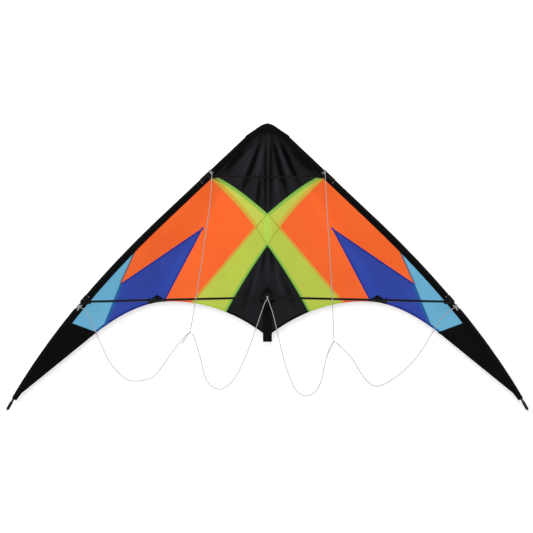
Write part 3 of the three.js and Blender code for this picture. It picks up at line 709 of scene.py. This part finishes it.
# Each leg's route, hanging free. The two sides hang differently.
BRIDLE = {
    "bridle_upper_left": [
        (-127, -9.6, -112), (-130.5, -15.5, -176), (-146, -18, -286), (-163, -19, -397),
        (-176, -20, -475),
    ],
    "bridle_outer_left": [
        (-430, -8, -421), (-415.5, -12, -431), (-392, -14, -480), (-360.5, -16, -547),
        (-323, -18, -586), (-301, -18, -590.5), (-261.5, -19, -580.5), (-234, -20, -547),
        (-206.5, -20, -509.5), (-181, -20, -480),
    ],
    "bridle_inner_left": [
        (-173.5, -20, -481.5), (-168.5, -21, -488), (-155, -22, -531), (-135.5, -22, -594),
        (-109.5, -22, -609), (-80, -22, -590.5), (-48.5, -21, -531), (-28.5, -20, -476),
        (-6, -18.6, -411),
    ],
    "bridle_upper_right": [
        (132, -9.6, -112), (135, -15.5, -176), (141, -18, -274), (147, -19, -371.5),
        (152, -20, -496),
    ],
    "bridle_outer_right": [
        (430, -8, -421), (419, -12, -429), (398, -14, -447.5), (378, -15, -479), (342.5, -16, -535),
        (294.5, -18, -581), (254.5, -19, -602), (238.5, -19, -599), (218.5, -20, -579), (190.5, -20, -535),
        (156, -20, -501),
    ],
    "bridle_inner_right": [
        (149, -20, -502.5), (142.5, -21, -515), (133, -22, -543), (122.5, -22, -591),
        (107, -22, -617), (85, -22, -624), (67, -22, -613), (43, -21, -559), (25, -20, -487),
        (11, -19.5, -431), (4, -18.6, -411),
    ],
}
TOW_POINTS = {
    "left": [(-177, -20, -478.5), (-186, -20.6, -491), (-194.4, -21.8, -503)],
    "right": [(152.5, -20, -499.5), (145.6, -24, -511), (136, -26, -533)],
}


def smooth_route(points, steps=6):
    """A centripetal spline through the points of a route."""
    points = [Vector(p) for p in points]
    padded = [2 * points[0] - points[1], *points, 2 * points[-1] - points[-2]]
    route = []
    for p0, p1, p2, p3 in zip(padded, padded[1:], padded[2:], padded[3:]):
        d0, d1, d2 = (math.sqrt((b - a).length) for a, b in ((p0, p1), (p1, p2), (p2, p3)))
        leave = ((p1 - p0) / d0 - (p2 - p0) / (d0 + d1) + (p2 - p1) / d1) * d1
        arrive = ((p2 - p1) / d1 - (p3 - p1) / (d1 + d2) + (p3 - p2) / d2) * d1
        for i in range(steps):
            t = i / steps
            cubic = 2 * p1 - 2 * p2 + leave + arrive
            square = 3 * p2 - 3 * p1 - 2 * leave - arrive
            route.append(p1 + leave * t + square * t**2 + cubic * t**3)
    return route + [points[-1]]


def wraps(centre, axis, radius, count):
    """Turns of line round something, side by side."""
    rings = []
    axis = Vector(axis).normalized()
    for i in range(count):
        place = Vector(centre) + axis * (i - (count - 1) / 2) * 2 * LINE_R
        bpy.ops.mesh.primitive_torus_add(
            location=place * MM,
            rotation=axis.to_track_quat("Z", "Y").to_euler(),
            major_radius=radius * MM,
            minor_radius=LINE_R * MM,
            major_segments=20,
            minor_segments=8,
        )
        ring = bpy.context.object
        bpy.ops.object.transform_apply()
        smooth(ring, 60)
        rings.append(ring)
    return rings


def knot(centre, size):
    """An overhand knot, drawn as three crossed turns pulled tight."""
    turns = []
    for axis in ((1, 0.2, 0.4), (-0.3, 1, 0.5), (0.2, -0.4, 1)):
        turns += wraps(centre, axis, size, count=1)
    return turns


def build_bridle():
    for side in SIDES:
        for leg in ("upper", "outer", "inner"):
            name = f"bridle_{leg}_{side}"
            route = smooth_route(BRIDLE[name])
            piece = tube(f"line_{leg}_{side}", route, LINE_R)
            attach(piece, LINE, side, replaced=[name])
            path = [point * MM for point in route]
            if leg == "inner":
                path.reverse()
        start, *tail = TOW_POINTS[side]
        pieces = knot(start, TOW_KNOT_R)
        for spread in (-1.5, 1.5):
            middle = [tuple(Vector(point) + Vector((0.8 * spread, 0, -0.6 * spread))) for point in tail[:-1]]
            pieces.append(tube("tow_tail", smooth_route([start, *middle, tail[-1]]), 0.6 * LINE_R))
        pieces += knot(tail[-1], TAIL_KNOT_R)
        attach(join(f"tow_loop_{side}", pieces), LINE, side, replaced=[f"tow_point_{side}"])


build_bridle()

# ---- sail panels -------------------------------------------------------------------------------------
SAIL_TUCK = 2.5  # the panels run this far in between the two layers of the sleeve


def hem_line(start, end):
    """The outer edge of the panels between two drops, tucked into the sleeve."""
    count = max(1, round(abs(end - start) / 6))
    return [inside_edge(lerp(start, end, i / count), HEM - SAIL_TUCK) for i in range(count + 1)]


def on_hem(drop):
    return inside_edge(drop, HEM - SAIL_TUCK)


KNEE = (393, -480)  # where the trailing edge turns down to the tip
SCOOP_JOINT = (245, -410)
INNER_SCOOP = ((CREASE_X, -KEEL_LENGTH), (120, -401), SCOOP_JOINT)
OUTER_SCOOP = (SCOOP_JOINT, (314, -418), KNEE)
# How far down the leading edge each seam meets the hem.
NOSE_SEAM_DROP = 121
ARM_SEAM_DROP = 125
SKY_SEAM_DROP = 287
TIP_SEAM_DROP = 457
TIP_CORNER_DROP = 621


def trailing_z(x):
    """Height of the scooped trailing edge, from the strap out to the knee."""
    if x <= CREASE_X:
        return -KEEL_LENGTH
    a, control, b = INNER_SCOOP if x <= INNER_SCOOP[2][0] else OUTER_SCOOP
    square = a[0] - 2 * control[0] + b[0]
    half = control[0] - a[0]
    t = (x - a[0]) / (half + math.sqrt(half * half + square * (x - a[0])))
    return lerp(lerp(a[1], control[1], t), lerp(control[1], b[1], t), t)


def trailing(x0, x1):
    count = max(1, round(abs(x1 - x0) / 5))
    return [(x, trailing_z(x)) for x in (lerp(x0, x1, i / count) for i in range(count + 1))]


CROSS_TOP = (0, -207)
CROSS_SIDE = (27, -239)
CROSS_BOTTOM = (0, -280)
# Outline of a brighter lime sheet down the cross: a painted highlight on the cloth's ridge over the spine.
CROSS_STRIPE = [(0, -209), (7.5, -217.5), (7.5, -267), (0, -278)]
BLUE_TIP = (148, -239)
BLUE_SHOULDER = (338.4, -369)
KEEL_CORNER, LIME_CORNER, BLUE_HEEL, SKY_HEEL = ((x, trailing_z(x)) for x in (95, 174, 238, 379))

NOSE_SEAM = bezier(CROSS_TOP, (95, -124), on_hem(NOSE_SEAM_DROP))
ARM_SEAM = bowed(CROSS_SIDE, on_hem(ARM_SEAM_DROP), 4.5)
LOWER_ARM_SEAM = [CROSS_SIDE, LIME_CORNER]
KEEL_SEAM = bowed(CROSS_BOTTOM, KEEL_CORNER, 3)
SKY_SEAM = [on_hem(SKY_SEAM_DROP), BLUE_SHOULDER]
TIP_SEAM = [KNEE, on_hem(TIP_SEAM_DROP)]
MID_BLUE_LINE = [BLUE_SHOULDER, (SKY_HEEL[0] - 2.6, SKY_HEEL[1] + 6.5)]  # stops at the trailing hem

PANELS = {
    "nose_panel": (BLACK, [(0, -14), *NOSE_SEAM, *hem_line(NOSE_SEAM_DROP, SLEEVE_TOP - 2)]),
    "upper_arm": (UPPER_LIME, [*NOSE_SEAM, *reversed(ARM_SEAM)]),
    "lower_arm": (LIME, [*KEEL_SEAM, *trailing(KEEL_CORNER[0], LIME_CORNER[0])[1:], CROSS_SIDE]),
    "keel_panel": (
        BLACK,
        [(0, -KEEL_LENGTH), *trailing(CREASE_X, KEEL_CORNER[0]), *reversed(KEEL_SEAM[:-1])],
    ),
    "orange_panel": (
        ORANGE,
        [
            *ARM_SEAM,
            *hem_line(ARM_SEAM_DROP, SKY_SEAM_DROP)[1:],
            BLUE_SHOULDER,
            BLUE_TIP,
            *trailing(BLUE_HEEL[0], LIME_CORNER[0]),
        ],
    ),
    "blue_panel": (BLUE, [BLUE_TIP, BLUE_SHOULDER, *trailing(SKY_HEEL[0], BLUE_HEEL[0])]),
    "sky_panel": (
        SKY,
        [*hem_line(SKY_SEAM_DROP, TIP_SEAM_DROP), *trailing(KNEE[0], SKY_HEEL[0]), BLUE_SHOULDER],
    ),
    "tip_panel": (DENSE_BLACK, [*hem_line(TIP_SEAM_DROP, TIP_CORNER_DROP), KNEE]),
}
HEM_STRIP = (0.2, 5)  # edges of the trailing hem, inwards from the trailing edge
# Each seam: line, edges of its strip left of the line's way, finish, and the panel it is sewn to.
SEAMS = {
    "nose_seam": (NOSE_SEAM, -7.5, 0.2, GREEN_SEAM, "upper_arm"),
    "nose_edge": (NOSE_SEAM, -0.9, 0.4, GREEN_EDGE, "nose_panel"),
    "arm_seam": (ARM_SEAM, 0, 8, GOLD_SEAM, "upper_arm"),
    "arm_edge": (ARM_SEAM, -1.6, 1.2, AMBER_SEAM, "orange_panel"),
    "lower_arm_seam": (LOWER_ARM_SEAM, -2.5, 3.2, AMBER_SEAM, "lower_arm"),
    "keel_seam": (KEEL_SEAM, 0, 6, GREEN_SEAM, "lower_arm"),
    "keel_edge": (KEEL_SEAM, -0.4, 1.2, GREEN_EDGE, "keel_panel"),
    "cross_upper_seam": ([CROSS_TOP, CROSS_SIDE], -0.8, 0.8, OLIVE_SEAM, "upper_arm"),
    "cross_lower_seam": ([CROSS_SIDE, CROSS_BOTTOM], -0.8, 0.8, OLIVE_SEAM, "lower_arm"),
    "blue_upper_seam": ([BLUE_TIP, BLUE_SHOULDER], -3.2, 0.3, BLUE_HEM, "blue_panel"),
    "blue_inner_seam": ([BLUE_TIP, BLUE_HEEL], -0.3, 3.2, BLUE_HEM, "blue_panel"),
    "sky_seam": (SKY_SEAM, -1.8, 1.8, GREY_SEAM, "sky_panel"),
    "mid_blue_seam": (MID_BLUE_LINE, -5.8, 0.4, MID_BLUE_SEAM, "blue_panel"),
    "tip_seam": (TIP_SEAM, -4, 0.3, BLACK_TAPE, "tip_panel"),
    "keel_hem": (trailing(CREASE_X - 1, KEEL_CORNER[0]), *HEM_STRIP, BLACK_TAPE, "keel_panel"),
    "lime_hem": (trailing(KEEL_CORNER[0], LIME_CORNER[0]), *HEM_STRIP, LIME_HEM, "lower_arm"),
    "orange_hem": (trailing(LIME_CORNER[0], BLUE_HEEL[0]), *HEM_STRIP, ORANGE_HEM, "orange_panel"),
    "blue_hem": (trailing(BLUE_HEEL[0], SKY_HEEL[0]), *HEM_STRIP, BLUE_HEM, "blue_panel"),
    "sky_hem": (trailing(SKY_HEEL[0], KNEE[0]), *HEM_STRIP, MID_BLUE_SEAM, "sky_panel"),
    "tip_hem": ([KNEE, on_hem(TIP_CORNER_DROP)], *HEM_STRIP, BLACK_TAPE, "tip_panel"),
}
RAISED_SEAMS = ("arm_edge", "nose_edge", "keel_edge")  # sewn over a wider seam
SEAM_LIFT = 0.35
RAISED_LIFT = 0.55
BACK_LIFT = -0.45  # each seam shows behind the cloth too
CREASED_PANELS = ("nose_panel", "keel_panel")  # their folds need a finer mesh
CREASED_PITCH = 2.8
PANEL_PITCH = 6


def build_sail():
    sheets = {**PANELS, "cross": (LIME, [CROSS_TOP, CROSS_SIDE, CROSS_BOTTOM])}
    for side in SIDES:
        sewn_on = {name: [] for name in sheets}
        for name, (line, near, far, material, panel) in SEAMS.items():
            lift = RAISED_LIFT if name in RAISED_SEAMS else SEAM_LIFT
            seam = strip(f"{name}_{side}", line, near, far, side, lift)
            sewn_on[panel].append(attach(seam, material, side))
            if name not in RAISED_SEAMS:
                back = strip(f"{name}_back_{side}", line, near, far, side, BACK_LIFT)
                sewn_on[panel].append(attach(back, material, side))
        # The brighter strip over the spine is a painted highlight.
        stripe = cloth_piece(f"cross_stripe_{side}", CROSS_STRIPE, side, lift=0.3, pitch=4)
        sewn_on["cross"].append(attach(stripe, SPINE_HIGHLIGHT, side))
        for name, (material, outline) in sheets.items():
            pitch = CREASED_PITCH if name in CREASED_PANELS else PANEL_PITCH
            piece = cloth_piece(f"{name}_cloth_{side}", outline, side, pitch=pitch)
            stands_for = []
            if name != "cross":
                stands_for.append(f"{name}_{side}")
            if name in ("nose_panel", "keel_panel", "cross"):
                stands_for.append(f"{name}_centre")
            attach(piece, material, side, replaced=stands_for)


build_sail()

# ---- patches -----------------------------------------------------------------------------------------
PATCH_LIFT = 1.3
PATCH_THICKNESS = 0.6
CENTRE_DROP = 399


def build_patches():
    z = -CENTRE_DROP
    stem = 10.3
    wing = 2 * stem
    centre = [(0, z + 26), (0, z - 37.5), (stem, z - 37.5), (stem, z - 18), (wing, z - 6), (wing, z - 2)]
    inner, outer = STANDOFF_X - 20, STANDOFF_X + 21
    standoff = [
        (inner, -408),
        (STANDOFF_X - 12, -402),
        (STANDOFF_X, -394),
        (STANDOFF_X + 12, -402),
        (outer, -409),
        *trailing(outer, inner),
    ]
    for side in SIDES:
        piece = cloth_piece(f"keel_patch_{side}", centre, side, PATCH_LIFT, 4, PATCH_THICKNESS)
        attach(piece, BLACK_TAPE, side, replaced=["centre_patch"])
        piece = cloth_piece(f"trailing_patch_{side}", standoff, side, PATCH_LIFT, 4, PATCH_THICKNESS)
        attach(piece, BLACK_TAPE, side, replaced=[f"standoff_patch_{side}"])


build_patches()

# ---- edge sleeves ------------------------------------------------------------------------------------
SLEEVE_R = 4.2
SLEEVE_TAPER_START = 590  # from here down the sleeve narrows towards the tip
LOWER_RING_BOTTOM = 412.5  # below the lower fitting the opening shows the rod only


def sleeve_section(drop):
    """The sleeve's folded strip, from its back hem round the rod to its front hem: outboard, forward."""
    taper = clamp((drop - SLEEVE_TAPER_START) / (SLEEVE_END - SLEEVE_TAPER_START), 0, 1)
    hem = -(HEM + 2.2 * drop / SLEEVE_END) + 6 * taper
    start = math.radians(158)
    arc = [lerp(start, -start, i / 18) for i in range(19)]
    bow = [(SLEEVE_R * math.cos(a), -SLEEVE_R * math.sin(a)) for a in arc]
    back = [(hem, -0.75), (0.4 - RING_R, -0.9)]
    return back + bow + [(p, -q) for p, q in reversed(back)]


def build_sleeve(side):
    """Tape folded round the edge rod, open where the fittings grip the rod."""
    sign = SIDES[side]
    stops = sorted({SLEEVE_TOP, SLEEVE_END, *UPPER_WINDOW, *LOWER_WINDOW, LOWER_RING_BOTTOM})
    drops = resample([(d, 0) for d in stops], 6)
    drops = [d for d, _ in drops]
    points = []
    uvs = []
    for drop in drops:
        across = math.hypot(1, edge_slope(-drop))
        section = sleeve_section(drop)
        for j, (out, forward) in enumerate(section):
            ruffle = 0.18 * math.sin(drop / 7.3 + 3 * j) * (1 if j in (0, len(section) - 1) else 0.3)
            x = edge_x(-drop) + (out + ruffle) / across
            z = -drop + (out + ruffle) * edge_slope(-drop) / across
            points.append((sign * x, -forward - ruffle * 0.4, z))
            uvs.append((drop * across * MM, abs(2 * j / (len(section) - 1) - 1)))
    columns = len(sleeve_section(0))
    faces = []
    for i in range(len(drops) - 1):
        middle = (drops[i] + drops[i + 1]) / 2
        in_window = any(top < middle < bottom for top, bottom in (UPPER_WINDOW, LOWER_WINDOW))
        kept = 1 if middle < LOWER_RING_BOTTOM else 2
        for j in range(columns - 1):
            if in_window and kept <= j < columns - 1 - kept:
                continue
            a = i * columns + j
            face = (a, a + 1, a + 1 + columns, a + columns)
            faces.append(face if sign > 0 else face[::-1])
    piece = mesh_object(f"edge_tape_{side}", points, faces, uvs)
    apply_modifier(piece, "SOLIDIFY", thickness=0.4 * MM, offset=0)
    activate(piece)
    bpy.ops.object.mode_set(mode="EDIT")
    bpy.ops.mesh.select_all(action="SELECT")
    bpy.ops.mesh.normals_make_consistent(inside=False)
    bpy.ops.object.mode_set(mode="OBJECT")
    smooth(piece, 50)
    attach(piece, BLACK_TAPE, side, body=f"{side}_wing", replaced=[f"edge_sleeve_{side}"])


for wing in SIDES:
    build_sleeve(wing)

# ---- nose cap ----------------------------------------------------------------------------------------
CAP_BOTTOM = 24
CAP_HALF_DEPTH = 4.6
CAP_PITCH = 2.5  # spacing of its mesh


def build_nose_cap(side):
    """Webbing folded over the nose and sewn down its edges: open at the bottom, round at the top."""
    sign = SIDES[side]
    down = Vector((edge_slope(-SLEEVE_TOP), -1)).normalized()
    out = Vector((-down.y, down.x))
    corner = Vector((edge_x(-SLEEVE_TOP), -SLEEVE_TOP)) + out * 6.2 + down * 1.5
    heel = Vector((edge_x(-SLEEVE_TOP), -SLEEVE_TOP)) - out * 12.5 + down * 2
    rim = [(0, 0), (5, -0.8), (15, -5), tuple(corner)]
    outline = [*rim, tuple(heel), (22, -CAP_BOTTOM - 3), (0, -CAP_BOTTOM)]
    border = resample(outline + [outline[0]], CAP_PITCH)[:-1]
    rim_points = resample(rim, CAP_PITCH)
    flat = [Vector(p) for p in border + fill_points(border, CAP_PITCH)]
    found, _, faces, *_ = delaunay_2d_cdt(flat, [], [list(range(len(border)))], 1, 1e-4)
    layers = []
    for forward in (-1, 1):
        points = []
        for p in found:
            away = clamp(min(math.dist(p, q) for q in rim_points) / 5, 0, 1)
            pucker = 0.35 * math.sin(p.x * 0.9) * clamp(-p.y / 30, 0, 1)
            depth = CAP_HALF_DEPTH * math.sqrt(1 - (1 - away) ** 2) + pucker * away
            points.append((sign * p.x, forward * depth, p.y))
        layers.append(mesh_object(f"cap_layer_{side}", points, [list(face) for face in faces]))
    piece = join(f"nose_cover_{side}", layers)
    activate(piece)
    bpy.ops.object.mode_set(mode="EDIT")
    bpy.ops.mesh.select_all(action="SELECT")
    bpy.ops.mesh.remove_doubles(threshold=0.02 * MM)
    bpy.ops.mesh.normals_make_consistent(inside=False)
    bpy.ops.object.mode_set(mode="OBJECT")
    apply_modifier(piece, "SOLIDIFY", thickness=0.6 * MM, offset=-1)
    smooth(piece, 50)
    attach(piece, WEBBING, side, replaced=[f"nose_cap_side_{side}", "nose_cap_centre"])


for wing in SIDES:
    build_nose_cap(wing)

# ---- rods, fittings, tail strap and tips ---------------------------------------------------------------
MOULD_EDGE = 0.45

for node, name, body in (
    ("centre_fitting", "centre_t", "centre"),
    ("spine_end_cap", "spine_end", "centre"),
    ("upper_fitting_right", "upper_hook_right", "right_wing"),
    ("upper_fitting_left", "upper_hook_left", "left_wing"),
    ("lower_fitting_right", "lower_socket_right", "right_wing"),
    ("lower_fitting_left", "lower_socket_left", "left_wing"),
    ("standoff_foot_right", "trailing_foot_right", "right_wing"),
    ("standoff_foot_left", "trailing_foot_left", "left_wing"),
    ("standoff_connector_right", "sliding_joint_right", "right_spreader"),
    ("standoff_connector_left", "sliding_joint_left", "left_spreader"),
    ("stop_ring_right", "clip_right", "right_spreader"),
    ("stop_ring_left", "clip_left", "left_spreader"),
    ("tip_nock_right", "nock_right", "right_wing"),
    ("tip_nock_left", "nock_left", "left_wing"),
):
    attach(rounded_copy(node, name, MOULD_EDGE), MOULDED, body=body, replaced=[node])

for node, name, body in (
    ("spine_rod", "spine", "centre"),
    ("edge_rod_right", "edge_spar_right", "right_wing"),
    ("edge_rod_left", "edge_spar_left", "left_wing"),
    ("upper_spreader", "upper_spar", "upper_spreader"),
    ("lower_spreader_right", "lower_spar_right", "right_spreader"),
    ("lower_spreader_left", "lower_spar_left", "left_spreader"),
    ("standoff_rod_right", "standoff_right", "right_standoff"),
    ("standoff_rod_left", "standoff_left", "left_standoff"),
):
    attach(rounded_copy(node, name, 0), ROD, body=body, replaced=[node])

strap = rounded_copy("tail_strap", "tail_webbing", 0.5)
attach(strap, WEBBING, body="centre", replaced=["tail_strap"])
for wing in SIDES:
    bungee = rounded_copy(f"tip_bungee_{wing}", f"tip_elastic_{wing}", 0)
    attach(bungee, ELASTIC, body=f"{wing}_wing", replaced=[f"tip_bungee_{wing}"])


def build_hitches():
    """The bridle's hitches, round each edge rod in the sleeve's windows and on the centre fitting."""
    for side, sign in SIDES.items():
        for place, drop, leg, radius, turns in (
            ("upper", 113, "upper", RING_R + 0.5 * LINE_R, 2),
            ("lower", 420, "outer", EDGE_ROD_R + LINE_R, 4),
        ):
            axis = (sign * edge_slope(-drop), 0, -1)
            centre = Vector((sign * edge_x(-drop), 0, -drop))
            pieces = wraps(centre, axis, radius, turns)
            start = Vector(BRIDLE[f"bridle_{leg}_{side}"][0])
            front = centre + Vector((0, -radius, 0))
            middle = (front + start) / 2 + Vector((0, -1, 1))
            pieces.append(tube("hitch_lead", [front, middle, start], LINE_R))
            attach(join(f"{place}_hitch_{side}", pieces), LINE, side, body=f"{side}_wing")
    low = Vector((0.4, -17.4, -CENTRE_DROP - 3))
    pieces = knot((0, -17.3, 1 - CENTRE_DROP), 1.5) + knot(low, 1.2)
    for side in SIDES:
        end = Vector(BRIDLE[f"bridle_inner_{side}"][-1])
        pieces.append(tube("centre_lead", [low, end], LINE_R))
    attach(join("centre_hitch", pieces), LINE, body="centre")


build_hitches()


# ---- floor, backdrop and light ---------------------------------------------------------------------------
FLOOR_DROP = 1020
SCREEN_DISTANCE = 680


def add_floor():
    """Pale painted floor, faintly uneven."""
    material, tree = start_material("painted_studio_floor")
    place = add_node(tree, "ShaderNodeTexCoord").outputs["Object"]
    cloudy = add_node(tree, "ShaderNodeTexNoise", {"Vector": place, "Scale": 2})
    tone = add_node(tree, "ShaderNodeValToRGB", {"Fac": cloudy.outputs["Fac"]})
    tone.color_ramp.elements[0].color = linear("#e9e9e9")
    tone.color_ramp.elements[1].color = linear("#f1f1f1")
    paint = {"Base Color": tone.outputs["Color"], "Roughness": 0.8}
    finish_material(tree, add_node(tree, "ShaderNodeBsdfPrincipled", paint))
    bpy.ops.mesh.primitive_plane_add(size=8, location=(0, 0, -FLOOR_DROP * MM))
    floor = bpy.context.object
    floor.name = "floor"
    floor.data.materials.append(material)


def add_screen():
    """A white lit screen behind the kite, which takes a soft shadow and is clear from behind."""
    material, tree = start_material("lit_screen")
    paper = add_node(
        tree,
        "ShaderNodeBsdfPrincipled",
        {
            "Base Color": (0.98, 0.98, 0.98, 1),
            "Roughness": 1,
            "Specular IOR Level": 0,
            "Emission Color": (1, 1, 1, 1),
            "Emission Strength": 0.19,
        },
    )
    clear = add_node(tree, "ShaderNodeBsdfTransparent")
    behind = add_node(tree, "ShaderNodeNewGeometry").outputs["Backfacing"]
    mixed = add_node(tree, "ShaderNodeMixShader", {0: behind, 1: paper.outputs[0], 2: clear.outputs[0]})
    add_node(tree, "ShaderNodeOutputMaterial", {"Surface": mixed.outputs[0]})
    place = (0, SCREEN_DISTANCE * MM, 0.47)
    bpy.ops.mesh.primitive_plane_add(size=3, location=place, rotation=(math.pi / 2, 0, 0))
    screen = bpy.context.object
    screen.name = "screen"
    screen.data.materials.append(material)


def add_world():
    world = bpy.data.worlds.new("studio")
    world.use_nodes = True
    background = world.node_tree.nodes["Background"]
    background.inputs["Color"].default_value = (1, 1, 1, 1)
    background.inputs["Strength"].default_value = 0.25
    bpy.context.scene.world = world
    bpy.context.scene.view_settings.view_transform = "Standard"


def add_lamps():
    """Soft key and fill, a rear light, and a small front lamp that throws the shadow on the screen."""
    target = Vector((0, 0, -0.33))
    # Places and sizes in metres, power in watts.
    for name, place, size, power in (
        ("key", (-1.8, -2.4, 1.6), 1.6, 26),
        ("fill", (2.0, -2.6, 0.2), 2.0, 10),
        ("front", (-0.05, -CAMERA_DISTANCE * MM, -0.22), 0.28, 330),
        ("rear", (0.8, 3.0, 1.4), 2.0, 40),
    ):
        bpy.ops.object.light_add(type="AREA", location=place)
        lamp = bpy.context.object
        lamp.name = name
        lamp.data.size = size
        lamp.data.energy = power
        lamp.visible_camera = False
        lamp.visible_glossy = name != "front"
        lamp.rotation_euler = (target - Vector(place)).to_track_quat("-Z", "Y").to_euler()


add_floor()
add_screen()
add_world()
add_lamps()
